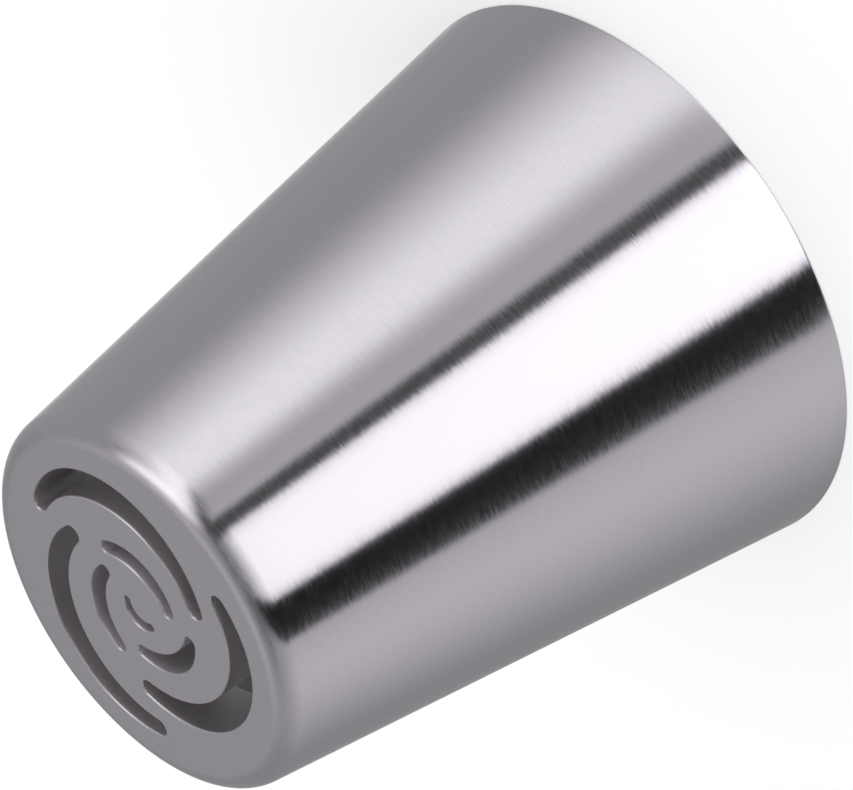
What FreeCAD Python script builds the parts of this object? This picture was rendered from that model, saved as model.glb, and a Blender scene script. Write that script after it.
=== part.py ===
"""Piping nozzle with a rose face: a drawn steel cone, a thick slotted disc and the weld that holds it.

The nozzle stands on its wide mouth with the tip up. The origin is the centre of the mouth's rim,
+Z runs along the axis towards the tip, and all sizes are in millimetres and degrees.
"""

import FreeCAD
import Part
import math
import os

import Sketcher

OUT_FOLDER = "parts"

# Driving dimensions: alias, value, what it measures
SIZES = [
    ("mouth_diameter", 35.0, "outside of the wide open end"),
    ("tip_diameter", 23.6, "outside of the cone carried on to the plane of the face"),
    ("nozzle_height", 38.5, "from the rim of the mouth to the face"),
    ("sheet_thickness", 0.6, "wall of the drawn cone, measured square to it"),
    ("shoulder_radius", 1.5, "outside of the rounded corner between cone and face"),
    ("lip_width", 2.0, "how far the face of the cone turns in from its sharp corner"),
    ("rim_edge_radius", 0.15, "deburred edges of the mouth"),
    ("flange_thickness", 3.4, "disc behind the lip"),
    ("disc_clearance", 0.02, "between the disc and the cone round it"),
    ("weld_leg", 0.9, "legs of the weld along the disc and along the wall"),
    ("weld_face_share", 1.35, "radius of the weld's rounded face, of its leg"),
    ("slot_land", 0.65, "steel between the outer slots and the edge of the raised disc"),
    ("slot_edge_radius", 0.1, "edge break along the slots"),
    ("petal_count", 3, "slots in each ring"),
    ("outer_slot_width", 1.93, "outer petals at their widest"),
    ("outer_reach_share", 1.0, "furthest point of the outer petals, of the rose's radius"),
    ("outer_offset_share", 0.232, "centre of the outer petals' arc, of the rose's radius"),
    ("outer_pinch_share", 0.145, "centre shift that narrows the ends, of the rose's radius"),
    ("outer_offset_angle", 113.0, "direction of that centre from the axis"),
    ("outer_middle_angle", 68.0, "direction of a petal's widest place from its arc's centre"),
    ("outer_half_sweep", 74.5, "from there to the middle of each rounded end"),
    ("inner_slot_width", 1.2, "inner petals at their widest"),
    ("inner_reach_share", 0.497, "furthest point of the inner petals"),
    ("inner_offset_share", 0.096, "centre of the inner petals' arc"),
    ("inner_pinch_share", 0.16, "centre shift that narrows the ends"),
    ("inner_offset_angle", 113.0, "direction of that centre from the axis"),
    ("inner_middle_angle", 48.0, "direction of a petal's widest place from its arc's centre"),
    ("inner_half_sweep", 52.5, "from there to the middle of each rounded end"),
    ("bud_slot_width", 0.72, "slot of the bud at its widest"),
    ("bud_reach_share", 0.181, "furthest point of the bud"),
    ("bud_offset_share", 0.033, "centre of the bud's arc"),
    ("bud_pinch_share", 0.05, "centre shift that narrows the ends"),
    ("bud_offset_angle", 265.0, "direction of that centre from the axis"),
    ("bud_middle_angle", 101.0, "direction of the bud's widest place from its arc's centre"),
    ("bud_half_sweep", 70.0, "from there to the middle of each rounded end"),
]
FULL_TURN = 360.0
MATCH_TOLERANCE = 1e-6


def make_sheet(doc):
    """The spreadsheet of driving dimensions, one alias to a row."""
    sheet = doc.addObject("Spreadsheet::Sheet", "Sizes")
    for row, (alias, value, meaning) in enumerate(SIZES, start=1):
        sheet.set(f"A{row}", alias)
        sheet.set(f"B{row}", str(value))
        sheet.setAlias(f"B{row}", alias)
        sheet.set(f"C{row}", meaning)
    doc.recompute()
    return sheet


def origin_feature(body, role):
    """One of the body's own origin planes or axes."""
    return next(f for f in body.Origin.OriginFeatures if f.Role == role)


def make_sketch(body, name, plane_role):
    """An empty sketch on one of the body's origin planes."""
    sketch = body.newObject("Sketcher::SketchObject", name)
    sketch.AttachmentSupport = [(origin_feature(body, plane_role), "")]
    sketch.MapMode = "FlatFace"
    return sketch


def bind(sketch, constraint, expression):
    """Adds a dimension to a sketch and ties it to the spreadsheet."""
    index = sketch.addConstraint(constraint)
    sketch.setExpression(f"Constraints[{index}]", expression)
    return index


def close_outline(sketch, points):
    """Straight edges through the points in order and back to the first, joined at their ends."""
    count = len(points)
    for start, end in zip(points, points[1:] + points[:1]):
        sketch.addGeometry(Part.LineSegment(FreeCAD.Vector(*start), FreeCAD.Vector(*end)), False)
    for line in range(count):
        sketch.addConstraint(Sketcher.Constraint("Coincident", line, 2, (line + 1) % count, 1))


def revolve(body, sketch, name):
    """A full turn of the sketch about the nozzle's axis."""
    feature = body.newObject("PartDesign::Revolution", name)
    feature.Profile = sketch
    feature.ReferenceAxis = (sketch, ["V_Axis"])
    feature.Angle = FULL_TURN
    return feature


def ring_edges(shape, radius, height):
    """Names of the circular edges of that radius about the axis at that height."""
    names = []
    for number, edge in enumerate(shape.Edges, start=1):
        if not isinstance(edge.Curve, Part.Circle):
            continue
        centre = edge.Curve.Center
        same = abs(edge.Curve.Radius - radius) + abs(centre.z - height) + math.hypot(centre.x, centre.y)
        if same < MATCH_TOLERANCE:
            names.append(f"Edge{number}")
    return names


def fillet(body, base, name, edges, expression):
    """A fillet on named edges of the feature before it."""
    if not edges:
        raise RuntimeError(f"{name} found no edge to round")
    feature = body.newObject("PartDesign::Fillet", name)
    feature.Base = (base, edges)
    feature.setExpression("Radius", expression)
    body.Document.recompute()
    return feature


class Cone:
    """Radii and heights of the cone's wall, worked out from the driving dimensions."""

    def __init__(self, sheet):
        self.mouth_radius = sheet.mouth_diameter / 2
        self.tip_radius = sheet.tip_diameter / 2
        self.height = sheet.nozzle_height
        self.slope = (self.mouth_radius - self.tip_radius) / self.height
        self.secant = math.hypot(1, self.slope)
        self.wall_across = sheet.sheet_thickness * self.secant
        self.lip_radius = self.tip_radius - sheet.lip_width
        self.lip_underside = self.height - sheet.sheet_thickness
        self.disc_underside = self.lip_underside - sheet.flange_thickness

    def inside(self, height):
        """Radius of the wall's inner face at a height."""
        return self.mouth_radius - self.wall_across - self.slope * height


# Expressions that several pieces share
LIP_RADIUS = "(Sizes.tip_diameter / 2 - Sizes.lip_width)"
ROSE_RADIUS = "(Sizes.tip_diameter / 2 - Sizes.lip_width - Sizes.disc_clearance - Sizes.slot_land)"
LIP_UNDERSIDE = "(Sizes.nozzle_height - Sizes.sheet_thickness)"
DISC_UNDERSIDE = "(Sizes.nozzle_height - Sizes.sheet_thickness - Sizes.flange_thickness)"
CONE_SLOPE = "((Sizes.mouth_diameter - Sizes.tip_diameter) / 2 / Sizes.nozzle_height)"
CONE_SECANT = f"sqrt(1 + {CONE_SLOPE} ^ 2)"
INSIDE_AT_MOUTH = f"(Sizes.mouth_diameter / 2 - Sizes.sheet_thickness * {CONE_SECANT})"


def inside_at(height):
    """Expression for the radius of the wall's inner face at a height that is an expression too."""
    return f"({INSIDE_AT_MOUTH} - {CONE_SLOPE} * {height})"


def make_cone_sleeve(doc, sheet, cone):
    """The drawn cone: open at the mouth, turned in at the tip to a lip round the disc."""
    body = doc.addObject("PartDesign::Body", "cone_sleeve")
    sketch = make_sketch(body, "sleeve_profile", "XZ_Plane")
    outer, face, hole_wall, underside, inner, rim = range(6)
    close_outline(sketch, [
        (cone.mouth_radius, 0),
        (cone.tip_radius, cone.height),
        (cone.lip_radius, cone.height),
        (cone.lip_radius, cone.lip_underside),
        (cone.inside(cone.lip_underside), cone.lip_underside),
        (cone.inside(0), 0),
    ])
    for line in (face, underside, rim):
        sketch.addConstraint(Sketcher.Constraint("Horizontal", line))
    sketch.addConstraint(Sketcher.Constraint("Vertical", hole_wall))
    sketch.addConstraint(Sketcher.Constraint("PointOnObject", outer, 1, -1))
    bind(sketch, Sketcher.Constraint("DistanceX", -1, 1, outer, 1, cone.mouth_radius),
         "Sizes.mouth_diameter / 2")
    bind(sketch, Sketcher.Constraint("DistanceX", -1, 1, outer, 2, cone.tip_radius), "Sizes.tip_diameter / 2")
    bind(sketch, Sketcher.Constraint("DistanceY", -1, 1, outer, 2, cone.height), "Sizes.nozzle_height")
    bind(sketch, Sketcher.Constraint("DistanceX", -1, 1, hole_wall, 1, cone.lip_radius), LIP_RADIUS)
    bind(sketch, Sketcher.Constraint("DistanceY", -1, 1, hole_wall, 2, cone.lip_underside), LIP_UNDERSIDE)
    bind(sketch, Sketcher.Constraint("DistanceX", -1, 1, underside, 2, cone.inside(cone.lip_underside)),
         inside_at(LIP_UNDERSIDE))
    bind(sketch, Sketcher.Constraint("DistanceX", -1, 1, inner, 2, cone.inside(0)), INSIDE_AT_MOUTH)
    shell = revolve(body, sketch, "sleeve_shell")
    doc.recompute()

    shoulder = fillet(body, shell, "outer_shoulder",
                      ring_edges(shell.Shape, cone.tip_radius, cone.height), "Sizes.shoulder_radius")
    seat = fillet(body, shoulder, "inner_shoulder",
                  ring_edges(shoulder.Shape, cone.inside(cone.lip_underside), cone.lip_underside),
                  "Sizes.shoulder_radius - Sizes.sheet_thickness")
    rim_edges = (ring_edges(seat.Shape, cone.mouth_radius, 0) + ring_edges(seat.Shape, cone.inside(0), 0))
    fillet(body, seat, "rim_edges", rim_edges, "Sizes.rim_edge_radius")
    return body


class Slot:
    """Geometry of one crescent slot: two arcs, pinched together towards two rounded ends."""

    def __init__(self, sheet, ring, rose_radius):
        def size(name):
            return getattr(sheet, f"{ring}_{name}")

        def polar(radius, degrees):
            angle = math.radians(degrees)
            return FreeCAD.Vector(radius * math.cos(angle), radius * math.sin(angle), 0)

        offset = size("offset_share") * rose_radius
        pinch = size("pinch_share") * rose_radius
        self.outer_centre = polar(offset, size("offset_angle"))
        self.outer_radius = size("reach_share") * rose_radius - offset
        self.inner_centre = self.outer_centre - polar(pinch, size("middle_angle"))
        self.inner_radius = self.outer_radius - size("slot_width") + pinch
        self.start_angle = size("middle_angle") - size("half_sweep")
        self.end_angle = size("middle_angle") + size("half_sweep")
        self.ends = [self.end_circle(polar(1, angle)) for angle in (self.start_angle, self.end_angle)]

    def end_circle(self, direction):
        """Centre and radius of the circle that touches both arcs, seen that way from the outer centre."""
        between = self.inner_centre - self.outer_centre
        total = self.outer_radius + self.inner_radius
        distance = (total ** 2 - between.Length ** 2) / 2 / (total - between.dot(direction))
        return self.outer_centre + direction * distance, self.outer_radius - distance


def angle_of(vector):
    """Direction of a vector in the sketch's plane, in radians from 0 to a full turn."""
    return math.atan2(vector.y, vector.x) % (2 * math.pi)


def draw_slot(sketch, sheet, ring, rose_radius):
    """Draws a ring's slot as four tangent arcs and ties it to the spreadsheet."""
    slot = Slot(sheet, ring, rose_radius)
    up = FreeCAD.Vector(0, 0, 1)
    (start_centre, start_radius), (end_centre, end_radius) = slot.ends

    def arc(centre, radius, first, last):
        return sketch.addGeometry(Part.ArcOfCircle(Part.Circle(centre, up, radius), first, last), False)

    start_out = angle_of(start_centre - slot.outer_centre)
    end_out = angle_of(end_centre - slot.outer_centre)
    start_in = angle_of(start_centre - slot.inner_centre)
    end_in = angle_of(end_centre - slot.inner_centre)
    outer = arc(slot.outer_centre, slot.outer_radius, start_out, end_out)
    end = arc(end_centre, end_radius, end_out, end_in + math.pi)
    inner = arc(slot.inner_centre, slot.inner_radius, start_in, end_in)
    start = arc(start_centre, start_radius, start_in + math.pi, start_out)
    for first, first_point, second, second_point in (
        (outer, 2, end, 1), (end, 2, inner, 2), (inner, 1, start, 1), (start, 2, outer, 1),
    ):
        sketch.addConstraint(Sketcher.Constraint("Tangent", first, first_point, second, second_point))

    offset = f"(Sizes.{ring}_offset_share * {ROSE_RADIUS})"
    pinch = f"(Sizes.{ring}_pinch_share * {ROSE_RADIUS})"
    radius = f"(Sizes.{ring}_reach_share * {ROSE_RADIUS} - {offset})"
    for kind, turn, value in (("DistanceX", "cos", "x"), ("DistanceY", "sin", "y")):
        outer_place = f"{offset} * {turn}(Sizes.{ring}_offset_angle * 1 deg)"
        inner_place = f"{outer_place} - {pinch} * {turn}(Sizes.{ring}_middle_angle * 1 deg)"
        bind(sketch, Sketcher.Constraint(kind, -1, 1, outer, 3, getattr(slot.outer_centre, value)), outer_place)
        bind(sketch, Sketcher.Constraint(kind, -1, 1, inner, 3, getattr(slot.inner_centre, value)), inner_place)
    bind(sketch, Sketcher.Constraint("Radius", outer, slot.outer_radius), radius)
    bind(sketch, Sketcher.Constraint("Radius", inner, slot.inner_radius),
         f"{radius} - Sizes.{ring}_slot_width + {pinch}")
    for centre, tip, turn in ((start_centre, start, "-"), (end_centre, end, "+")):
        spoke = sketch.addGeometry(Part.LineSegment(slot.outer_centre, centre), True)
        sketch.addConstraint(Sketcher.Constraint("Coincident", spoke, 1, outer, 3))
        sketch.addConstraint(Sketcher.Constraint("Coincident", spoke, 2, tip, 3))
        bind(sketch, Sketcher.Constraint("Angle", spoke, angle_of(centre - slot.outer_centre)),
             f"(Sizes.{ring}_middle_angle {turn} Sizes.{ring}_half_sweep) * 1 deg")


def cut_slot(body, sheet, ring, rose_radius):
    """Cuts one ring's slot through the disc, from the plane of the face down."""
    sketch = make_sketch(body, f"{ring}_slot_outline", "XY_Plane")
    sketch.setExpression("AttachmentOffset.Base.z", "Sizes.nozzle_height")
    draw_slot(sketch, sheet, ring, rose_radius)
    pocket = body.newObject("PartDesign::Pocket", f"{ring}_slot")
    pocket.Profile = sketch
    pocket.Type = "ThroughAll"
    body.Document.recompute()
    return pocket


def slot_edges(shape, height):
    """Names of the edges round the slots in the flat faces at a height."""
    hashes = set()
    for face in shape.Faces:
        flat = isinstance(face.Surface, Part.Plane) and abs(face.CenterOfMass.z - height) < MATCH_TOLERANCE
        for wire in face.Wires if flat else ():
            if not wire.isSame(face.OuterWire):
                hashes.update(edge.hashCode() for edge in wire.Edges)
    return [f"Edge{n}" for n, edge in enumerate(shape.Edges, start=1) if edge.hashCode() in hashes]


def make_petal_disc(doc, sheet, cone):
    """The slotted disc: a flange behind the lip and a raised middle that fills the lip's hole flush."""
    body = doc.addObject("PartDesign::Body", "petal_disc")
    sketch = make_sketch(body, "disc_profile", "XZ_Plane")
    clearance = sheet.disc_clearance
    boss_radius = cone.lip_radius - clearance
    flange_top = cone.inside(cone.lip_underside) - clearance
    flange_bottom = cone.inside(cone.disc_underside) - clearance
    axis, underside, flange_wall, step, boss_wall, face = range(6)
    close_outline(sketch, [
        (0, cone.height),
        (0, cone.disc_underside),
        (flange_bottom, cone.disc_underside),
        (flange_top, cone.lip_underside),
        (boss_radius, cone.lip_underside),
        (boss_radius, cone.height),
    ])
    for line in (underside, step, face):
        sketch.addConstraint(Sketcher.Constraint("Horizontal", line))
    sketch.addConstraint(Sketcher.Constraint("Vertical", boss_wall))
    sketch.addConstraint(Sketcher.Constraint("PointOnObject", axis, 1, -2))
    sketch.addConstraint(Sketcher.Constraint("PointOnObject", axis, 2, -2))
    bind(sketch, Sketcher.Constraint("DistanceY", -1, 1, axis, 1, cone.height), "Sizes.nozzle_height")
    bind(sketch, Sketcher.Constraint("DistanceY", -1, 1, axis, 2, cone.disc_underside), DISC_UNDERSIDE)
    bind(sketch, Sketcher.Constraint("DistanceY", -1, 1, step, 1, cone.lip_underside), LIP_UNDERSIDE)
    bind(sketch, Sketcher.Constraint("DistanceX", -1, 1, flange_wall, 1, flange_bottom),
         f"{inside_at(DISC_UNDERSIDE)} - Sizes.disc_clearance")
    bind(sketch, Sketcher.Constraint("DistanceX", -1, 1, flange_wall, 2, flange_top),
         f"{inside_at(LIP_UNDERSIDE)} - Sizes.disc_clearance")
    bind(sketch, Sketcher.Constraint("DistanceX", -1, 1, boss_wall, 1, boss_radius),
         f"{LIP_RADIUS} - Sizes.disc_clearance")
    blank = revolve(body, sketch, "disc_blank")
    doc.recompute()
    fillet(body, blank, "flange_shoulder", ring_edges(blank.Shape, flange_top, cone.lip_underside),
           "Sizes.shoulder_radius - Sizes.sheet_thickness")

    rose_radius = boss_radius - sheet.slot_land
    cut_slot(body, sheet, "bud", rose_radius)
    petals = [cut_slot(body, sheet, ring, rose_radius) for ring in ("inner", "outer")]
    rings = body.newObject("PartDesign::PolarPattern", "petal_rings")
    rings.Originals = petals
    rings.Axis = (origin_feature(body, "Z_Axis"), [""])
    rings.Angle = FULL_TURN
    rings.setExpression("Occurrences", "Sizes.petal_count")
    body.Tip = rings
    doc.recompute()
    edges = slot_edges(rings.Shape, cone.height) + slot_edges(rings.Shape, cone.disc_underside)
    fillet(body, rings, "slot_edges", edges, "Sizes.slot_edge_radius")
    return body


def make_weld_bead(doc, sheet, cone):
    """The weld round the inside corner between the disc's flange and the cone's wall."""
    body = doc.addObject("PartDesign::Body", "weld_bead")
    sketch = make_sketch(body, "weld_profile", "XZ_Plane")
    foot_height = cone.disc_underside - sheet.weld_leg / cone.secant
    corner = FreeCAD.Vector(cone.inside(cone.disc_underside), cone.disc_underside, 0)
    toe = FreeCAD.Vector(corner.x - sheet.weld_leg, corner.y, 0)
    foot = FreeCAD.Vector(cone.inside(foot_height), foot_height, 0)
    face_radius = sheet.weld_face_share * sheet.weld_leg
    middle = (toe + foot) / 2
    inward = (corner - middle).normalize()
    face_centre = middle + inward * math.sqrt(face_radius ** 2 - (foot - toe).Length ** 2 / 4)
    face = Part.Circle(face_centre, FreeCAD.Vector(0, 0, 1), face_radius)

    top = sketch.addGeometry(Part.LineSegment(toe, corner), False)
    wall = sketch.addGeometry(Part.LineSegment(corner, foot), False)
    skin = sketch.addGeometry(
        Part.ArcOfCircle(face, angle_of(toe - face_centre), angle_of(foot - face_centre)), False)
    sketch.addConstraint(Sketcher.Constraint("Coincident", top, 2, wall, 1))
    sketch.addConstraint(Sketcher.Constraint("Coincident", wall, 2, skin, 2))
    sketch.addConstraint(Sketcher.Constraint("Coincident", skin, 1, top, 1))
    sketch.addConstraint(Sketcher.Constraint("Horizontal", top))
    foot_place = f"({DISC_UNDERSIDE} - Sizes.weld_leg / {CONE_SECANT})"
    bind(sketch, Sketcher.Constraint("DistanceX", -1, 1, top, 2, corner.x), inside_at(DISC_UNDERSIDE))
    bind(sketch, Sketcher.Constraint("DistanceY", -1, 1, top, 2, corner.y), DISC_UNDERSIDE)
    bind(sketch, Sketcher.Constraint("DistanceX", top, 1, top, 2, sheet.weld_leg), "Sizes.weld_leg")
    bind(sketch, Sketcher.Constraint("DistanceX", -1, 1, wall, 2, foot.x), inside_at(foot_place))
    bind(sketch, Sketcher.Constraint("DistanceY", -1, 1, wall, 2, foot.y), foot_place)
    bind(sketch, Sketcher.Constraint("Radius", skin, face_radius), "Sizes.weld_face_share * Sizes.weld_leg")
    revolve(body, sketch, "weld_run")
    doc.recompute()
    return body


def check(doc, bodies):
    """Stops before anything is written if an object failed or a piece isn't one sound solid."""
    for item in doc.Objects:
        if any(state in ("Invalid", "Error") for state in item.State):
            raise RuntimeError(f"{item.Label} failed: {item.State}")
    for body in bodies:
        shape = body.Shape
        if shape.isNull() or not shape.isValid() or len(shape.Solids) != 1:
            raise RuntimeError(f"{body.Label} is not one valid solid")


def main():
    """Builds the nozzle and writes one STEP file for each piece."""
    doc = FreeCAD.newDocument("piping_nozzle")
    sheet = make_sheet(doc)
    cone = Cone(sheet)
    bodies = [
        make_cone_sleeve(doc, sheet, cone),
        make_petal_disc(doc, sheet, cone),
        make_weld_bead(doc, sheet, cone),
    ]
    doc.recompute()
    check(doc, bodies)
    os.makedirs(OUT_FOLDER, exist_ok=True)
    for body in bodies:
        body.Shape.exportStep(os.path.join(OUT_FOLDER, f"{body.Label}.step"))
        print(f"{body.Label}: {body.Shape.Volume:.2f} mm3, {len(body.Shape.Faces)} faces")


main()
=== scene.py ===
"""Looks of a steel piping nozzle in a plain light studio: a spun cone, a slotted rose disc and a weld.

Every length is in metres, apart from the camera's sensor, and every size's angle in degrees. The nozzle
stands on its mouth, its axis is +Z, and the camera looks at its -Y side from above, rolled over so that the
face points to the lower left of the picture.
"""

import logging
import math
from abc import ABC, abstractmethod
from dataclasses import dataclass, field
from enum import Enum
from typing import ClassVar, Sequence

import bmesh
import bpy
from mathutils import Matrix, Vector


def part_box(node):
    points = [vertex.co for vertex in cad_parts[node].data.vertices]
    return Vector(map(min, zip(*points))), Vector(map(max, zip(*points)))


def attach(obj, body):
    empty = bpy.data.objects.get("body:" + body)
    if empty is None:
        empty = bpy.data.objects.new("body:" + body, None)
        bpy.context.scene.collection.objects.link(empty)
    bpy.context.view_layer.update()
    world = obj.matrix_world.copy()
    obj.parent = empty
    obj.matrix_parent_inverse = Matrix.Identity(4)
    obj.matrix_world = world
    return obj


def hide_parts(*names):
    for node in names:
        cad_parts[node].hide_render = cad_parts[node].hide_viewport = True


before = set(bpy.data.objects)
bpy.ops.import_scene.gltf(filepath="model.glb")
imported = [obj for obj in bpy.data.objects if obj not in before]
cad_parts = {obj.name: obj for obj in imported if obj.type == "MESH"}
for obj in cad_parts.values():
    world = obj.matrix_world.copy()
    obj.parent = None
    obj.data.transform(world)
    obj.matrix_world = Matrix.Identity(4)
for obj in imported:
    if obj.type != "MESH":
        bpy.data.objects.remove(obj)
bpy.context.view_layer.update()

ROOT = "root"
MM = 0.001
OPAQUE = 1.0

# The sharpest fold that is still shaded as a smooth surface.
SHARP_EDGE = 40.0

# How upright a face's normal is where the face counts as level.
LEVEL = 0.9999

# The part of a noise's range that most of its values lie in, and the middle of that range.
NOISE_LOW = 0.3
NOISE_HIGH = 0.7
NOISE_MIDDLE = 0.5

LOG = logging.getLogger("nozzle")

Point = tuple[float, float]
Colour = tuple[float, float, float]
Loop = list[bmesh.types.BMVert]
Socket = bpy.types.NodeSocket


class Finish(Enum):
    """The surfaces that the nozzle's steel has."""

    SPUN = "spun_outside"
    DRAWN = "drawn_inside"
    SATIN = "satin_face"
    DULL = "dull_back"
    CUT = "cut_wall"
    ROUGH_CUT = "rough_cut_wall"
    WELDED = "welded_bead"


class NodeSheet:
    """A node tree with short ways to add nodes and join them."""

    def __init__(self, tree: bpy.types.NodeTree) -> None:
        """Clears the tree.

        Args:
            tree: the tree of a material or of the world.
        """
        self.tree = tree
        tree.nodes.clear()

    def add(self, kind: str, inputs: dict | None = None, **settings: object) -> bpy.types.Node:
        """Adds a node.

        Args:
            kind: the node's type without the ShaderNode in front.
            inputs: values, or sockets to link from, by input name or number.
            settings: the node's own properties.

        Returns:
            The new node.
        """
        node = self.tree.nodes.new(f"ShaderNode{kind}")
        for name, value in settings.items():
            setattr(node, name, value)
        for key, value in (inputs or {}).items():
            if isinstance(value, bpy.types.NodeSocket):
                self.tree.links.new(value, node.inputs[key])
            else:
                node.inputs[key].default_value = value
        return node

    def maths(self, operation: str, *values: object) -> Socket:
        """A math node's result.

        Args:
            operation: Blender's name of the operation.
            values: numbers or sockets, in the order of the node's inputs.

        Returns:
            The node's output socket.
        """
        return self.add("Math", dict(enumerate(values)), operation=operation).outputs[0]

    def vector(self, operation: str, *values: object) -> Socket:
        """A vector math node's result.

        Args:
            operation: Blender's name of the operation, one that gives a vector.
            values: vectors or sockets, in the order of the node's inputs.

        Returns:
            The node's vector output socket.
        """
        return self.add("VectorMath", dict(enumerate(values)), operation=operation).outputs["Vector"]

    def ease(self, value: Socket, start: float, end: float, low: float = 0.0, high: float = 1.0) -> Socket:
        """A smooth step.

        Args:
            value: what is mapped.
            start: the value that gives low.
            end: the value that gives high.
            low: the result at the start and before it.
            high: the result at the end and past it.

        Returns:
            The node's output socket.
        """
        inputs = {"Value": value, "From Min": start, "From Max": end, "To Min": low, "To Max": high}
        return self.add("MapRange", inputs, interpolation_type="SMOOTHSTEP").outputs["Result"]

    def blend(self, factor: Socket, first: object, second: object) -> Socket:
        """A mix of two colours.

        Args:
            factor: how much of the second colour shows.
            first: a colour or a socket.
            second: a colour or a socket.

        Returns:
            The colour socket.
        """
        sides = {"A": first, "B": second}
        node = self.add("Mix", data_type="RGBA")
        for socket in node.inputs:
            if socket.type == "RGBA" and socket.name in sides:
                side = sides[socket.name]
                if isinstance(side, bpy.types.NodeSocket):
                    self.tree.links.new(side, socket)
                else:
                    socket.default_value = (*side, OPAQUE)
        self.tree.links.new(factor, node.inputs["Factor"])
        return next(socket for socket in node.outputs if socket.type == "RGBA")

    def noise(self, grain: Sequence[float], detail: float = 2.0, roughness: float = 0.5) -> Socket:
        """Noise in the piece's own coordinates.

        Args:
            grain: size of the noise's grain along X, Y and Z.
            detail: octaves.
            roughness: weight of the finer octaves.

        Returns:
            The noise's factor socket.
        """
        place = self.add("TexCoord").outputs["Object"]
        scale = [1 / size for size in grain]
        scaled = self.add("Mapping", {"Vector": place, "Scale": scale}).outputs["Vector"]
        inputs = {"Vector": scaled, "Scale": 1.0, "Detail": detail, "Roughness": roughness}
        return self.add("TexNoise", inputs).outputs["Fac"]

    def from_axis(self) -> Socket:
        """Distance from the nozzle's axis.

        Returns:
            The distance's socket.
        """
        axes = self.add("SeparateXYZ", {"Vector": self.add("TexCoord").outputs["Object"]}).outputs
        flat = self.add("CombineXYZ", {"X": axes["X"], "Y": axes["Y"]}).outputs["Vector"]
        return self.add("VectorMath", {0: flat}, operation="LENGTH").outputs["Value"]


@dataclass(frozen=True)
class HeatTint:
    """The straw and blue bands that welding leaves on steel, round a ring about the axis."""

    radius: float
    height: float
    reach: float = 3.2 * MM
    patch: float = 2.5 * MM
    wander_share: float = 0.5
    start_share: float = 1.25
    full_share: float = 0.25
    shown_heat: float = 0.3
    strength: float = 0.6
    bands: tuple[tuple[float, Colour], ...] = (
        (0.0, (0.62, 0.60, 0.62)),
        (0.35, (0.62, 0.53, 0.38)),
        (0.65, (0.47, 0.37, 0.38)),
        (0.85, (0.36, 0.40, 0.50)),
        (1.0, (0.52, 0.51, 0.50)),
    )

    def over(self, sheet: NodeSheet, colour: Socket) -> Socket:
        """Lays the bands over a colour.

        Args:
            sheet: the node tree.
            colour: the steel's colour.

        Returns:
            The tinted colour.
        """
        axes = sheet.add("SeparateXYZ", {"Vector": sheet.add("TexCoord").outputs["Object"]}).outputs
        across = sheet.maths("SUBTRACT", sheet.from_axis(), self.radius)
        along = sheet.maths("SUBTRACT", axes["Z"], self.height)
        squares = [sheet.maths("POWER", side, 2.0) for side in (across, along)]
        apart = sheet.maths("SQRT", sheet.maths("ADD", *squares))
        wander = sheet.maths("MULTIPLY", sheet.noise([self.patch] * 3), self.reach * self.wander_share)
        start, full = self.reach * self.start_share, self.reach * self.full_share
        heat = sheet.ease(sheet.maths("ADD", apart, wander), start, full)
        ramp = sheet.add("ValToRGB", {"Fac": heat})
        elements = ramp.color_ramp.elements
        while len(elements) < len(self.bands):
            elements.new(1.0)
        for element, (place_share, band) in zip(elements, self.bands):
            element.position = place_share
            element.color = (*band, OPAQUE)
        shown = sheet.ease(heat, 0.0, self.shown_heat, 0.0, self.strength)
        return sheet.blend(shown, colour, ramp.outputs["Color"])


@dataclass(frozen=True)
class Steel:
    """Bare stainless steel with a fine grain in its tone, roughness and relief."""

    colour: Colour = (0.625, 0.597, 0.645)
    roughness: float = 0.32
    spread: float = 0.08
    grain: tuple[float, float, float] = (0.09 * MM, 0.09 * MM, 0.09 * MM)
    grain_detail: float = 3.0
    grain_roughness: float = 0.6
    depth: float = 0.0004 * MM
    tone: float = 0.03
    tint: HeatTint | None = None

    def shade(self, share: float) -> Colour:
        """The steel's colour, lightened by a share of itself."""
        return tuple(min(1.0, channel * (1 + share)) for channel in self.colour)

    def surface(self, sheet: NodeSheet) -> dict[str, object]:
        """What the metal's shader takes.

        Args:
            sheet: the node tree.

        Returns:
            Values and sockets by the names of the shader's inputs.
        """
        grain = sheet.noise(self.grain, self.grain_detail, self.grain_roughness)
        tone = sheet.blend(grain, self.shade(-self.tone), self.shade(self.tone))
        if self.tint:
            tone = self.tint.over(sheet, tone)
        low, high = self.roughness * (1 - self.spread), self.roughness * (1 + self.spread)
        roughness = sheet.ease(grain, NOISE_LOW, NOISE_HIGH, low, high)
        bump = sheet.add("Bump", {"Height": grain, "Strength": 1.0, "Distance": self.depth})
        normal = bump.outputs["Normal"]
        return {"Base Color": tone, "Metallic": 1.0, "Roughness": roughness, "Normal": normal}

    def shader(self, sheet: NodeSheet) -> Socket:
        """The metal's shader."""
        return sheet.add("BsdfPrincipled", self.surface(sheet)).outputs["BSDF"]

    def material(self, name: str) -> bpy.types.Material:
        """Makes the material.

        Args:
            name: the material's name.

        Returns:
            The new material.
        """
        made = bpy.data.materials.new(name)
        made.use_nodes = True
        sheet = NodeSheet(made.node_tree)
        sheet.add("OutputMaterial", {"Surface": self.shader(sheet)})
        return made


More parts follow.
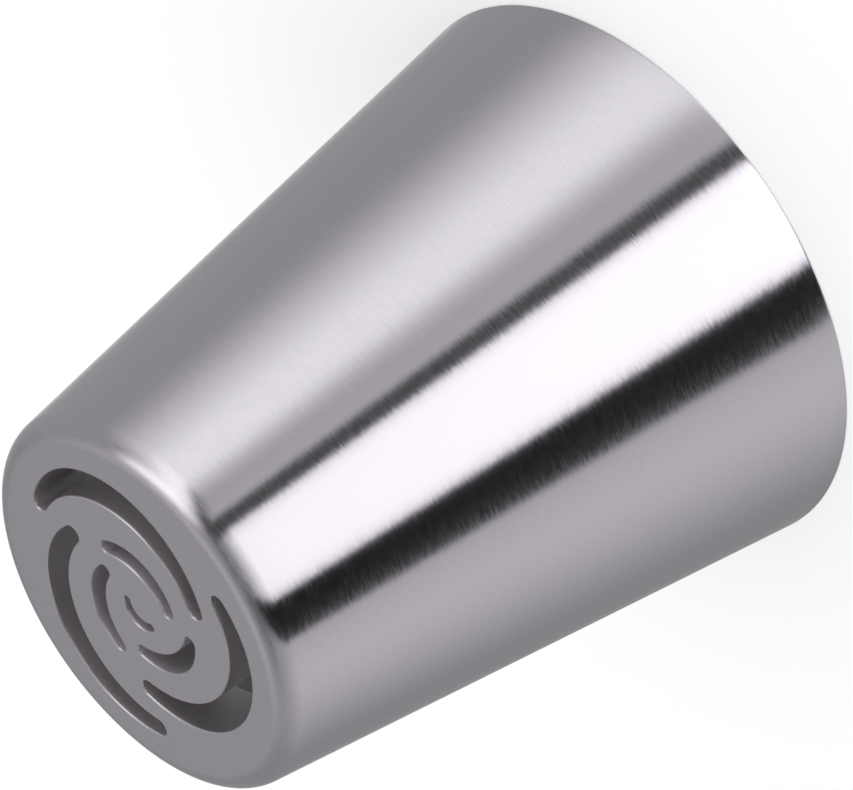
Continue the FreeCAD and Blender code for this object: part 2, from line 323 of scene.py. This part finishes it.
@dataclass(frozen=True)
class SpunSteel(Steel):
    """Steel polished on a lathe: fine rings round the axis that smear reflections along it."""

    anisotropy: float = 1.0
    along_the_axis: float = 0.25
    lean: float = 0.009
    lean_grain_share: float = 0.8
    face: Steel | None = None
    face_start: float = 0.0
    face_full: float = 0.0

    def surface(self, sheet: NodeSheet) -> dict[str, object]:
        """The plain steel's inputs, with the rings' direction and a little sideways lean from ring to ring.

        Args:
            sheet: the node tree.

        Returns:
            Values and sockets by the names of the shader's inputs.
        """
        inputs = super().surface(sheet)
        round_axis = sheet.add("Tangent", direction_type="RADIAL", axis="Z").outputs["Tangent"]
        sway = sheet.noise([size * self.lean_grain_share for size in self.grain])
        sway = sheet.maths("MULTIPLY", sheet.maths("SUBTRACT", sway, NOISE_MIDDLE), 2 * self.lean)
        aside = sheet.add("VectorMath", {0: round_axis, "Scale": sway}, operation="SCALE").outputs["Vector"]
        normal = sheet.vector("NORMALIZE", sheet.vector("ADD", inputs["Normal"], aside))
        return inputs | {"Normal": normal, "Tangent": round_axis, "Anisotropic": self.anisotropy,
                         "Anisotropic Rotation": self.along_the_axis}

    def shader(self, sheet: NodeSheet) -> Socket:
        """The spun metal, which passes into the face's finish towards the axis.

        Args:
            sheet: the node tree.

        Returns:
            The shader's output socket.
        """
        spun = super().shader(sheet)
        if self.face is None:
            return spun
        share = sheet.ease(sheet.from_axis(), self.face_start, self.face_full)
        return sheet.add("MixShader", {0: share, 1: spun, 2: self.face.shader(sheet)}).outputs["Shader"]


@dataclass
class Palette:
    """The nozzle's finishes, each made into a material when it is first asked for."""

    steels: dict[Finish, Steel]
    made: dict[Finish, bpy.types.Material] = field(default_factory=dict)

    @classmethod
    def of_nozzle(cls, tint: HeatTint, crown: float) -> "Palette":
        """The finishes of this nozzle.

        Args:
            tint: the heat tint round the weld.
            crown: radius at the top of the shoulder, where the face begins.

        Returns:
            The palette.
        """
        rings = (0.8 * MM, 0.8 * MM, 0.11 * MM)
        drawing_marks = (0.25 * MM, 0.25 * MM, 3.0 * MM)
        cut_marks = (0.2 * MM, 0.2 * MM, 2.0 * MM)
        blend_start, blend_end = 0.8 * MM, 0.05 * MM
        satin = Steel(roughness=0.36)
        return cls({
            Finish.SPUN: SpunSteel(roughness=0.21, spread=0.16, grain=rings, depth=0.0008 * MM, tone=0.09,
                                   face=satin, face_start=crown + blend_start, face_full=crown + blend_end),
            Finish.DRAWN: Steel((0.62, 0.607, 0.622), grain=drawing_marks, depth=0.0015 * MM, tone=0.06,
                                tint=tint),
            Finish.SATIN: satin,
            Finish.DULL: Steel(roughness=0.46, tone=0.05, tint=tint),
            Finish.CUT: Steel((0.795, 0.77, 0.785), roughness=0.38, spread=0.02, grain=cut_marks,
                              depth=0.0002 * MM, tone=0.05),
            Finish.ROUGH_CUT: Steel((0.80, 0.775, 0.80), roughness=0.5, spread=0.02, grain=cut_marks,
                                    depth=0.0002 * MM, tone=0.05),
            Finish.WELDED: Steel((0.54, 0.52, 0.51), roughness=0.36, tone=0.06, tint=tint),
        })

    def material(self, finish: Finish) -> bpy.types.Material:
        """The material of a finish.

        Args:
            finish: the finish.

        Returns:
            Its material.
        """
        if finish not in self.made:
            self.made[finish] = self.steels[finish].material(finish.value)
        return self.made[finish]


def arc(centre: Point, radius: float, start: float, end: float, steps: int) -> list[Point]:
    """Points along an arc.

    Args:
        centre: the arc's centre.
        radius: its radius.
        start: direction of the first point from the centre, in degrees.
        end: direction of the last point; smaller than start for a clockwise arc.
        steps: how many steps the arc is divided into.

    Returns:
        The points, both ends included.
    """
    turns = (math.radians(start + (end - start) * k / steps) for k in range(steps + 1))
    return [(centre[0] + radius * math.cos(t), centre[1] + radius * math.sin(t)) for t in turns]


def between(start: Point, end: Point, steps: int) -> list[Point]:
    """Points along a straight line, without its ends.

    Args:
        start: one end.
        end: the other end.
        steps: how many steps the line is divided into.

    Returns:
        The points.
    """
    shares = (k / steps for k in range(1, steps))
    return [(start[0] + (end[0] - start[0]) * s, start[1] + (end[1] - start[1]) * s) for s in shares]


def ring(mesh: bmesh.types.BMesh, radius: float, height: float, count: int) -> Loop:
    """A ring of points about the axis.

    Args:
        mesh: where the points go.
        radius: the ring's radius.
        height: its height.
        count: how many points it has.

    Returns:
        The points in order, anticlockwise from above.
    """
    turns = (2 * math.pi * k / count for k in range(count))
    return [mesh.verts.new((radius * math.cos(t), radius * math.sin(t), height)) for t in turns]


def bridge(mesh: bmesh.types.BMesh, first: Loop, second: Loop, material: int) -> None:
    """Joins two closed loops of as many points with four-sided faces.

    Args:
        mesh: where the faces go.
        first: one loop.
        second: the other loop, point for point.
        material: number of the material slot that the faces take.
    """
    for k in range(len(first)):
        after = (k + 1) % len(first)
        face = mesh.faces.new((first[k], first[after], second[after], second[k]))
        face.material_index = material


def level_flats(data: bpy.types.Mesh) -> None:
    """Keeps the light even over level faces, whose corners would lean with the rounded edges beside them.

    Args:
        data: a mesh with smooth faces.
    """
    normals = [corner.vector.copy() for corner in data.corner_normals]
    level: dict[int, Vector] = {}
    for face in data.polygons:
        if abs(face.normal.z) > LEVEL:
            upright = Vector((0, 0, math.copysign(1, face.normal.z)))
            level.update((point, upright) for point in face.vertices)
    for number, corner in enumerate(data.loops):
        upright = level.get(corner.vertex_index)
        if upright and normals[number].dot(upright) > math.cos(math.radians(SHARP_EDGE)):
            normals[number] = upright
    data.normals_split_custom_set(normals)


class Piece(ABC):
    """One piece of the nozzle, which stands for one node of the CAD model."""

    name: ClassVar[str]
    node: ClassVar[str]
    slot: ClassVar[str]
    finishes: ClassVar[tuple[Finish, ...]]

    @abstractmethod
    def shape(self, mesh: bmesh.types.BMesh) -> None:
        """Adds the piece's faces to a mesh."""

    def number(self, finish: Finish) -> int:
        """The material slot of one of the piece's finishes."""
        return self.finishes.index(finish)

    def build(self) -> bpy.types.Object:
        """Makes the piece and lets it ride on the nozzle in place of its CAD node.

        Returns:
            The new object.
        """
        mesh = bmesh.new()
        self.shape(mesh)
        bmesh.ops.recalc_face_normals(mesh, faces=mesh.faces)
        data = bpy.data.meshes.new(self.name)
        mesh.to_mesh(data)
        mesh.free()
        data.shade_smooth()
        data.set_sharp_from_angle(angle=math.radians(SHARP_EDGE))
        level_flats(data)
        piece = bpy.data.objects.new(self.name, data)
        bpy.context.scene.collection.objects.link(piece)
        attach(piece, ROOT)
        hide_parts(self.node)
        return piece

    def dress(self, piece: bpy.types.Object, palette: Palette) -> None:
        """Gives the piece its materials.

        Args:
            piece: the object that build made.
            palette: where the materials come from.
        """
        for finish in self.finishes:
            piece.data.materials.append(palette.material(finish))


@dataclass
class ConeSleeve(Piece):
    """The drawn cone, open at the mouth and turned in at the tip to a lip round the disc."""

    name = "spun_cone"
    node = "cone_sleeve"
    slot = "cone_steel"
    finishes = (Finish.SPUN, Finish.DRAWN, Finish.SATIN)

    height: float
    mouth_radius: float = 17.5 * MM
    tip_radius: float = 11.8 * MM
    sheet: float = 0.6 * MM
    shoulder: float = 1.5 * MM
    lip_width: float = 2.0 * MM
    rim_edge: float = 0.15 * MM
    turns: int = 384
    wall_steps: int = 24
    shoulder_steps: int = 20
    rim_steps: int = 5

    @property
    def slope(self) -> float:
        """Angle of the wall from the axis, in degrees."""
        return math.degrees(math.atan2(self.mouth_radius - self.tip_radius, self.height))

    @property
    def secant(self) -> float:
        """How much further the level distance through the wall is than the square one."""
        return 1 / math.cos(math.radians(self.slope))

    @property
    def lip_radius(self) -> float:
        """Radius of the hole that the disc fills."""
        return self.tip_radius - self.lip_width

    @property
    def lip_underside(self) -> float:
        """Height of the lip's back."""
        return self.height - self.sheet

    @property
    def crown(self) -> Point:
        """Centre of the shoulder's rounding, as radius and height."""
        height = self.height - self.shoulder
        return self.outer(height) - self.shoulder * self.secant, height

    def outer(self, height: float) -> float:
        """Radius of the wall's outer face at a height."""
        return self.mouth_radius - math.tan(math.radians(self.slope)) * height

    def inner(self, height: float) -> float:
        """Radius of the wall's inner face at a height."""
        return self.outer(height) - self.sheet * self.secant

    def rim_centre(self, radius: float, inside_angle: float, side: int) -> Point:
        """Centre of the arc that rounds a corner of the rim.

        Args:
            radius: radius of the corner.
            inside_angle: angle of the steel at the corner, in degrees.
            side: -1 where the steel lies towards the axis, 1 where it lies away from it.

        Returns:
            The centre, as radius and height.
        """
        return radius + side * self.rim_edge / math.tan(math.radians(inside_angle / 2)), self.rim_edge

    def outside(self) -> list[Point]:
        """The outside, from the rim's flat up to the top of the shoulder.

        Returns:
            The points, as radius and height.
        """
        rim = self.rim_centre(self.mouth_radius, 90 - self.slope, -1)
        edge = arc(rim, self.rim_edge, -90, self.slope, self.rim_steps)
        shoulder = arc(self.crown, self.shoulder, self.slope, 90, self.shoulder_steps)
        return edge + between(edge[-1], shoulder[0], self.wall_steps) + shoulder

    def inside(self) -> list[Point]:
        """The inside, from the lip's hole down to the rim's flat.

        Returns:
            The points, as radius and height.
        """
        rim = self.rim_centre(self.inner(0), 90 + self.slope, 1)
        edge = arc(rim, self.rim_edge, 180 + self.slope, 270, self.rim_steps)
        bend = arc(self.crown, self.shoulder - self.sheet, 90, self.slope, self.shoulder_steps)
        wall = between(bend[-1], edge[0], self.wall_steps)
        return [(self.lip_radius, self.lip_underside), *bend, *wall, *edge]

    def shape(self, mesh: bmesh.types.BMesh) -> None:
        """Spins the profile round the axis.

        Args:
            mesh: where the faces go.
        """
        outer = [ring(mesh, *point, self.turns) for point in self.outside()]
        inner = [ring(mesh, *point, self.turns) for point in self.inside()]
        hole = ring(mesh, self.lip_radius, self.height, self.turns)
        for loops, finish in (
            (outer, Finish.SPUN), ([outer[-1], hole], Finish.SATIN), ([hole, *inner], Finish.DRAWN),
            ([inner[-1], outer[0]], Finish.SPUN),
        ):
            for first, second in zip(loops, loops[1:]):
                bridge(mesh, first, second, self.number(finish))


def polar(radius: float, angle: float) -> Vector:
    """A level vector of that length in that direction."""
    return Vector((radius * math.cos(math.radians(angle)), radius * math.sin(math.radians(angle))))


def direction(vector: Vector, after: float) -> float:
    """The vector's direction, as the first angle that isn't smaller than the one given."""
    return after + (math.degrees(math.atan2(vector.y, vector.x)) - after) % 360


@dataclass(frozen=True)
class Crescent:
    """One slot of the rose: two arcs pinched together towards two rounded ends.

    Shares are of the rose's radius.
    """

    width: float
    reach_share: float
    offset_share: float
    pinch_share: float
    offset_angle: float
    middle_angle: float
    half_sweep: float
    finish: Finish
    copies: int = 3
    long_steps: int = 56
    end_steps: int = 14

    def outline(self, rose: float, grow: float, turn: float) -> list[Point]:
        """The slot's outline, anticlockwise from above.

        Args:
            rose: the rose's radius.
            grow: how far the outline stands outside the slot's walls.
            turn: angle that this copy is turned by, in degrees.

        Returns:
            The points of the closed outline.
        """
        middle = self.middle_angle + turn
        first, last = middle - self.half_sweep, middle + self.half_sweep
        outer = polar(self.offset_share * rose, self.offset_angle + turn)
        outer_radius = (self.reach_share - self.offset_share) * rose
        inner = outer - polar(self.pinch_share * rose, middle)
        inner_radius = outer_radius - self.width + self.pinch_share * rose
        shift, total = inner - outer, outer_radius + inner_radius
        ends = []
        for aim in (polar(1, first), polar(1, last)):
            distance = (total ** 2 - shift.length_squared) / 2 / (total - shift.dot(aim))
            ends.append((outer + aim * distance, outer_radius - distance))
        (start, start_radius), (end, end_radius) = ends
        inner_first = direction(start - inner, middle - 180)
        inner_last = direction(end - inner, inner_first)
        points = arc(outer, outer_radius + grow, first, last, self.long_steps)
        points += arc(end, end_radius + grow, last, direction(inner - end, last), self.end_steps)[1:]
        points += arc(inner, inner_radius - grow, inner_last, inner_first, self.long_steps)[1:]
        start_turn = direction(inner - start, first - 360)
        points += arc(start, start_radius + grow, start_turn, first, self.end_steps)[1:-1]
        return points


@dataclass
class PetalDisc(Piece):
    """The thick slotted disc: a flange behind the lip and a raised middle flush with the face."""

    name = "rose_disc"
    node = "petal_disc"
    slot = "disc_steel"
    finishes = (Finish.SATIN, Finish.DULL, Finish.CUT, Finish.ROUGH_CUT)

    sleeve: ConeSleeve
    underside: float
    land: float = 0.65 * MM
    clearance: float = 0.02 * MM
    edge: float = 0.1 * MM
    edge_steps: int = 4
    wall_steps: int = 8
    slots: tuple[Crescent, ...] = (
        Crescent(width=1.93 * MM, reach_share=1.0, offset_share=0.232, pinch_share=0.145, offset_angle=113.0,
                 middle_angle=68.0, half_sweep=74.5, finish=Finish.CUT),
        Crescent(width=1.2 * MM, reach_share=0.497, offset_share=0.096, pinch_share=0.16, offset_angle=113.0,
                 middle_angle=48.0, half_sweep=52.5, finish=Finish.ROUGH_CUT),
        Crescent(width=0.72 * MM, reach_share=0.181, offset_share=0.033, pinch_share=0.05,
                 offset_angle=265.0, middle_angle=101.0, half_sweep=70.0, finish=Finish.ROUGH_CUT,
                 copies=1, long_steps=28),
    )

    @property
    def rose(self) -> float:
        """Radius that the outer petals reach."""
        return self.sleeve.lip_radius - self.clearance - self.land

    def slot_levels(self) -> list[tuple[float, float]]:
        """How far a slot's outline grows and how high it lies, from the face down to the underside.

        Returns:
            Pairs of growth and height.
        """
        top, bottom = self.sleeve.height - self.edge, self.underside + self.edge
        upper = arc((self.edge, top), self.edge, 90, 180, self.edge_steps)
        lower = arc((self.edge, bottom), self.edge, 180, 270, self.edge_steps)
        return upper + between(upper[-1], lower[0], self.wall_steps) + lower

    def wall_finishes(self, slot: Crescent) -> list[Finish]:
        """The finishes of a slot's wall, from the face down.

        Args:
            slot: the slot.

        Returns:
            One finish for each strip between two levels.
        """
        face_edge, back_edge = [Finish.SATIN] * self.edge_steps, [Finish.DULL] * self.edge_steps
        return face_edge + [slot.finish] * self.wall_steps + back_edge

    def rim(self) -> list[Point]:
        """The disc's edge, from the face down past the lip to the underside.

        Returns:
            The points, as radius and height.
        """
        sleeve = self.sleeve
        crown_radius, crown_height = sleeve.crown
        centre = (crown_radius - self.clearance, crown_height)
        bend = arc(centre, sleeve.shoulder - sleeve.sheet, 90, sleeve.slope, sleeve.shoulder_steps)
        foot = (sleeve.inner(self.underside) - self.clearance, self.underside)
        return [(sleeve.lip_radius, sleeve.height), (sleeve.lip_radius, sleeve.lip_underside), *bend, foot]

    def shape(self, mesh: bmesh.types.BMesh) -> None:
        """Makes the edge and the slots' walls, then fills the face and the back round them.

        Args:
            mesh: where the faces go.
        """
        rim = [ring(mesh, *point, self.sleeve.turns) for point in self.rim()]
        for first, second in zip(rim, rim[1:]):
            bridge(mesh, first, second, self.number(Finish.DULL))
        borders = [(rim[0], rim[-1])]
        for slot in self.slots:
            for copy in range(slot.copies):
                turn = 360 / slot.copies * copy
                walls = [[mesh.verts.new((*point, height)) for point in slot.outline(self.rose, grow, turn)]
                         for grow, height in self.slot_levels()]
                for first, second, finish in zip(walls, walls[1:], self.wall_finishes(slot)):
                    bridge(mesh, first, second, self.number(finish))
                borders.append((walls[0], walls[-1]))
        for loops, finish in zip(zip(*borders), (Finish.SATIN, Finish.DULL)):
            edges = [mesh.edges.get((a, b)) for loop in loops for a, b in zip(loop, loop[1:] + loop[:1])]
            filled = bmesh.ops.triangle_fill(mesh, use_beauty=True, edges=edges)["geom"]
            for face in (item for item in filled if isinstance(item, bmesh.types.BMFace)):
                face.material_index = self.number(finish)


@dataclass
class WeldBead(Piece):
    """The weld round the inside corner, laid in overlapping ripples."""

    name = "ripple_weld"
    node = "weld_bead"
    slot = "weld_steel"
    finishes = (Finish.WELDED,)

    sleeve: ConeSleeve
    underside: float
    leg: float = 0.9 * MM
    face_share: float = 1.35
    ripples: int = 84
    ripple_depth: float = 0.05 * MM
    steps_per_ripple: int = 8
    face_steps: int = 10

    @property
    def corner(self) -> Vector:
        """Where the disc's back meets the wall, as radius and height."""
        return Vector((self.sleeve.inner(self.underside), self.underside))

    def section(self, sink: float) -> list[Point]:
        """The bead's section, from its toe on the disc round its face to the wall and back to the corner.

        Args:
            sink: how far the face lies below its full height here.

        Returns:
            The points of the closed section, as radius and height.
        """
        corner = self.corner
        toe = corner - Vector((self.leg, 0))
        foot_height = self.underside - self.leg / self.sleeve.secant
        foot = Vector((self.sleeve.inner(foot_height), foot_height))
        radius = self.face_share * self.leg
        middle = (toe + foot) / 2
        inward = (corner - middle).normalized()
        centre = middle + inward * math.sqrt(radius ** 2 - (foot - toe).length_squared / 4)
        start, end = (math.degrees(math.atan2(*(point - centre).yx)) % 360 for point in (toe, foot))
        face = [Vector(point) for point in arc(centre, radius, start, end, self.face_steps)]
        for k, point in enumerate(face):
            point += inward * sink * math.sin(math.pi * k / self.face_steps)
        return [tuple(point) for point in (*face, corner)]

    def shape(self, mesh: bmesh.types.BMesh) -> None:
        """Lays the section round the axis, sunk behind each ripple's crest.

        Args:
            mesh: where the faces go.
        """
        count = self.ripples * self.steps_per_ripple
        sections: list[Loop] = []
        for k in range(count):
            turn = 2 * math.pi * k / count
            phase = (k % self.steps_per_ripple) / self.steps_per_ripple
            points = self.section(self.ripple_depth * phase ** 2)
            across, along = math.cos(turn), math.sin(turn)
            sections.append([mesh.verts.new((r * across, r * along, z)) for r, z in points])
        for here, after in zip(sections, sections[1:] + sections[:1]):
            bridge(mesh, here, after, self.number(Finish.WELDED))


def show_in_reflections_only(thing: bpy.types.Object) -> None:
    """Hides a part of the stage from everything but reflections.

    Args:
        thing: the part of the stage.
    """
    for kind in ("camera", "diffuse", "transmission", "volume_scatter", "shadow"):
        setattr(thing, f"visible_{kind}", False)


def stage_object(name: str, mesh: bmesh.types.BMesh, material: bpy.types.Material) -> bpy.types.Object:
    """Turns a mesh into a part of the stage.

    Args:
        name: the object's name.
        mesh: its faces, freed here.
        material: its material.

    Returns:
        The new object.
    """
    data = bpy.data.meshes.new(name)
    mesh.to_mesh(data)
    mesh.free()
    data.materials.append(material)
    made = bpy.data.objects.new(name, data)
    bpy.context.scene.collection.objects.link(made)
    return made


@dataclass(frozen=True)
class Panel:
    """One panel of the light dome: its brightness, where it stands and how high it reaches."""

    name: str
    brightness: float
    azimuth: float = 0.0
    half_width: float = 200.0
    softness: float = 1.0
    low: float = -120.0
    high: float = 120.0
    fade: float = 8.0

    def cover(self, sheet: NodeSheet, azimuth: Socket, elevation: Socket) -> Socket:
        """How much of the panel shows in a direction.

        Args:
            sheet: the node tree.
            azimuth: the direction's azimuth, in radians.
            elevation: its elevation, in degrees.

        Returns:
            A socket from 0 to 1.
        """
        turned = sheet.maths("COSINE", sheet.maths("SUBTRACT", azimuth, math.radians(self.azimuth)))
        away = sheet.maths("DEGREES", sheet.maths("ARCCOSINE", turned))
        core = max(self.half_width - self.softness, 0.0)
        across = sheet.ease(away, self.half_width + self.softness, core)
        above = sheet.ease(elevation, self.high + self.fade, self.high - self.fade)
        below = sheet.ease(elevation, self.low - self.fade, self.low + self.fade)
        return sheet.maths("MULTIPLY", across, sheet.maths("MULTIPLY", above, below))


@dataclass
class LightDome:
    """A grey dome with bright panels and dark flags, which only the metal's reflections see."""

    radius: float = 0.6
    grey: float = 0.40
    segments: int = 64
    rings: int = 32
    panels: tuple[Panel, ...] = (
        Panel("pale_floor", 0.95, high=-62, fade=8),
        Panel("left_dim", 0.33, 122, 10, 28, high=35, fade=20),
        Panel("edge_glow", 0.9, 86, 14, 8, high=-12, fade=8),
        Panel("face_card", 0.33, 92, 30, 15, low=6, high=31, fade=6),
        Panel("back_card", 0.63, 92, 24, 20, low=42, high=66, fade=8),
        Panel("zenith_shade", 0.2, 220, 75, 25, low=56, fade=12),
        Panel("left_glow", 0.71, 191, 4, 50, high=25, fade=40),
        Panel("right_glow", 1.16, 319, 4, 47, high=58),
        Panel("right_top", 1.45, 318, 11, 8, low=2, high=60, fade=10),
        Panel("top_light", 1.68, 4, 42, 14, low=55, high=79, fade=5),
        Panel("grey_gap", 0.62, 293, 6, 13, high=40, fade=15),
        Panel("gap_top", 0.3, 298, 6, 6, low=-2, high=66, fade=8),
        Panel("flag_top", 0.05, 292, 7, 4, low=33, high=77, fade=7),
        Panel("black_flag", 0.015, 225, 11.5, 1.5, high=62, fade=14),
        Panel("narrow_flag", 0.08, 282, 4.5, 2, high=72, fade=10),
        Panel("white_top", 1.15, 257, 18, 4, high=32, fade=22),
        Panel("white_box", 2.04, 256.7, 21.2, 1.5, high=-8, fade=14),
    )

    def material(self) -> bpy.types.Material:
        """Emission by direction from the nozzle: the grey, then each panel laid over it in turn.

        Returns:
            The new material.
        """
        made = bpy.data.materials.new("light_dome")
        made.use_nodes = True
        sheet = NodeSheet(made.node_tree)
        place = sheet.add("TexCoord").outputs["Object"]
        axes = sheet.add("SeparateXYZ", {"Vector": sheet.vector("NORMALIZE", place)}).outputs
        azimuth = sheet.maths("ARCTAN2", axes["Y"], axes["X"])
        elevation = sheet.maths("DEGREES", sheet.maths("ARCSINE", axes["Z"]))
        value: float | Socket = self.grey
        for panel in self.panels:
            cover = panel.cover(sheet, azimuth, elevation)
            mixed = sheet.add("Mix", {"Factor": cover, "A": value, "B": panel.brightness}, label=panel.name)
            value = mixed.outputs["Result"]
        glow = sheet.add("Emission", {"Strength": value})
        sheet.add("OutputMaterial", {"Surface": glow.outputs["Emission"]})
        return made

    def build(self) -> bpy.types.Object:
        """Makes the dome round the nozzle.

        Returns:
            The dome.
        """
        mesh = bmesh.new()
        bmesh.ops.create_uvsphere(mesh, u_segments=self.segments, v_segments=self.rings, radius=self.radius)
        dome = stage_object("light_dome", mesh, self.material())
        show_in_reflections_only(dome)
        return dome


@dataclass
class MouthShade:
    """Painted shade seen only in reflections: a dim sheet for the shaded floor inside the mouth, with a
    painted glow down its middle.
    """

    radius: float = 16.8 * MM
    drop: float = 0.01 * MM
    dim: float = 0.04
    bright: float = 0.45
    bright_half: float = 4.0 * MM
    dim_from: float = 12.0 * MM
    turns: int = 96

    def material(self) -> bpy.types.Material:
        """A painted glow down the middle that dies away to both sides into painted shade.

        Returns:
            The new material.
        """
        made = bpy.data.materials.new("mouth_shade")
        made.use_nodes = True
        sheet = NodeSheet(made.node_tree)
        axes = sheet.add("SeparateXYZ", {"Vector": sheet.add("TexCoord").outputs["Object"]}).outputs
        # painted glow near the middle of the mouth, painted shade towards its sides
        aside = sheet.maths("ABSOLUTE", axes["X"])
        strength = sheet.ease(aside, self.dim_from, self.bright_half, self.dim, self.bright)
        glow = sheet.add("Emission", {"Strength": strength})
        sheet.add("OutputMaterial", {"Surface": glow.outputs["Emission"]})
        return made

    def build(self) -> bpy.types.Object:
        """Lays the patch between the rim and the floor.

        Returns:
            The patch.
        """
        mesh = bmesh.new()
        mesh.faces.new(ring(mesh, self.radius, -self.drop, self.turns))
        patch = stage_object("mouth_shade", mesh, self.material())
        show_in_reflections_only(patch)
        return patch


@dataclass
class Floor:
    """The pale floor that the nozzle stands on, which takes its shadow and is clear from below."""

    half_side: float = 3.0
    drop: float = 0.02 * MM
    colour: float = 0.95
    mottle: float = 0.005
    mottle_size: float = 0.15
    glow: float = 0.4

    def material(self) -> bpy.types.Material:
        """A matt white with a glow of its own, clear from below.

        Returns:
            The new material.
        """
        made = bpy.data.materials.new("pale_floor")
        made.use_nodes = True
        sheet = NodeSheet(made.node_tree)
        low, high = self.colour - self.mottle, self.colour + self.mottle
        tone = sheet.blend(sheet.noise([self.mottle_size] * 3), (low, low, low), (high, high, high))
        matt = sheet.add("BsdfDiffuse", {"Color": tone}).outputs["BSDF"]
        clear = sheet.add("BsdfTransparent").outputs["BSDF"]
        below = sheet.add("NewGeometry").outputs["Backfacing"]
        lit = sheet.add("MixShader", {0: self.glow, 1: matt, 2: sheet.add("Emission").outputs["Emission"]})
        mixed = sheet.add("MixShader", {0: below, 1: lit.outputs["Shader"], 2: clear})
        sheet.add("OutputMaterial", {"Surface": mixed.outputs["Shader"]})
        return made

    def build(self) -> bpy.types.Object:
        """Lays the floor just under the rim.

        Returns:
            The floor.
        """
        mesh = bmesh.new()
        bmesh.ops.create_grid(mesh, x_segments=1, y_segments=1, size=self.half_side,
                              matrix=Matrix.Translation((0, 0, -self.drop)))
        floor = stage_object("floor", mesh, self.material())
        floor.visible_glossy = False
        return floor


@dataclass
class Studio:
    """White surroundings and one soft lamp overhead for the shadow."""

    ambient: float = 0.9
    lamp_power: float = 2.0
    lamp_side: float = 0.6
    lamp_place: tuple[float, float, float] = (-0.25, -0.2, 0.8)

    def build(self) -> None:
        """Sets the world, the lamp and the view transform."""
        scene = bpy.context.scene
        scene.view_settings.view_transform = "Standard"
        world = bpy.data.worlds.new("white_room")
        scene.world = world
        world.use_nodes = True
        sheet = NodeSheet(world.node_tree)
        path = sheet.add("LightPath").outputs
        seen = sheet.maths("MAXIMUM", path["Is Camera Ray"], path["Is Glossy Ray"])
        seen = sheet.maths("MAXIMUM", seen, path["Is Transmission Ray"])
        strength = sheet.ease(seen, 0.0, 1.0, self.ambient, 1.0)
        white = sheet.add("Background", {"Color": (1, 1, 1, 1), "Strength": strength})
        sheet.add("OutputWorld", {"Surface": white.outputs["Background"]})

        lamp = bpy.data.lights.new("overhead", "AREA")
        lamp.energy = self.lamp_power
        lamp.size = self.lamp_side
        overhead = bpy.data.objects.new("overhead", lamp)
        scene.collection.objects.link(overhead)
        overhead.location = self.lamp_place
        overhead.rotation_euler = (-Vector(self.lamp_place)).to_track_quat("-Z", "Y").to_euler()
        overhead.visible_glossy = False


@dataclass
class PhotoCamera:
    """The camera of the photograph: a long lens, rolled so that the nozzle points to the lower left.

    The sensor is in millimetres, as Blender takes it.
    """

    elevation: float = 30.19
    roll: float = -124.85
    distance: float = 396.4 * MM
    aim: tuple[float, float, float] = (0.735 * MM, 0.0, 15.555 * MM)
    focal_pixels: float = 7000.0
    image_width: float = 853.0
    sensor: float = 36.0
    clip_start: float = 0.01
    clip_end: float = 20.0

    def build(self) -> bpy.types.Object:
        """Places the camera and makes it the scene's own.

        Returns:
            The camera.
        """
        data = bpy.data.cameras.new("photo_camera")
        data.sensor_width = self.sensor
        data.lens = self.sensor * self.focal_pixels / self.image_width
        data.clip_start = self.clip_start
        data.clip_end = self.clip_end
        camera = bpy.data.objects.new("photo_camera", data)
        bpy.context.scene.collection.objects.link(camera)
        rise, tilt = math.radians(self.elevation), math.radians(self.roll)
        forward = Vector((0, math.cos(rise), -math.sin(rise)))
        upright = Vector((0, math.sin(rise), math.cos(rise)))
        level = Vector((1, 0, 0))
        right = level * math.cos(tilt) + upright * math.sin(tilt)
        up = upright * math.cos(tilt) - level * math.sin(tilt)
        turn = Matrix((right, up, -forward)).transposed().to_4x4()
        camera.matrix_world = Matrix.Translation(Vector(self.aim) - forward * self.distance) @ turn
        bpy.context.scene.camera = camera
        return camera


def main() -> None:
    """Builds the nozzle's pieces, then the stage, the studio and the camera."""
    logging.basicConfig(level=logging.INFO, format="%(name)s: %(message)s")
    sleeve = ConeSleeve(height=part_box("cone_sleeve")[1][2])
    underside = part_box("petal_disc")[0][2]
    weld = WeldBead(sleeve, underside)
    palette = Palette.of_nozzle(HeatTint(weld.corner.x, weld.corner.y), sleeve.crown[0])
    for part in (sleeve, PetalDisc(sleeve, underside), weld):
        piece = part.build()
        part.dress(piece, palette)
        LOG.info("%s: %d faces", part.name, len(piece.data.polygons))
    for part in (Floor(), MouthShade(), LightDome(), Studio(), PhotoCamera()):
        part.build()
        LOG.info("%s: in place", type(part).__name__)


if __name__ == "__main__":
    main()
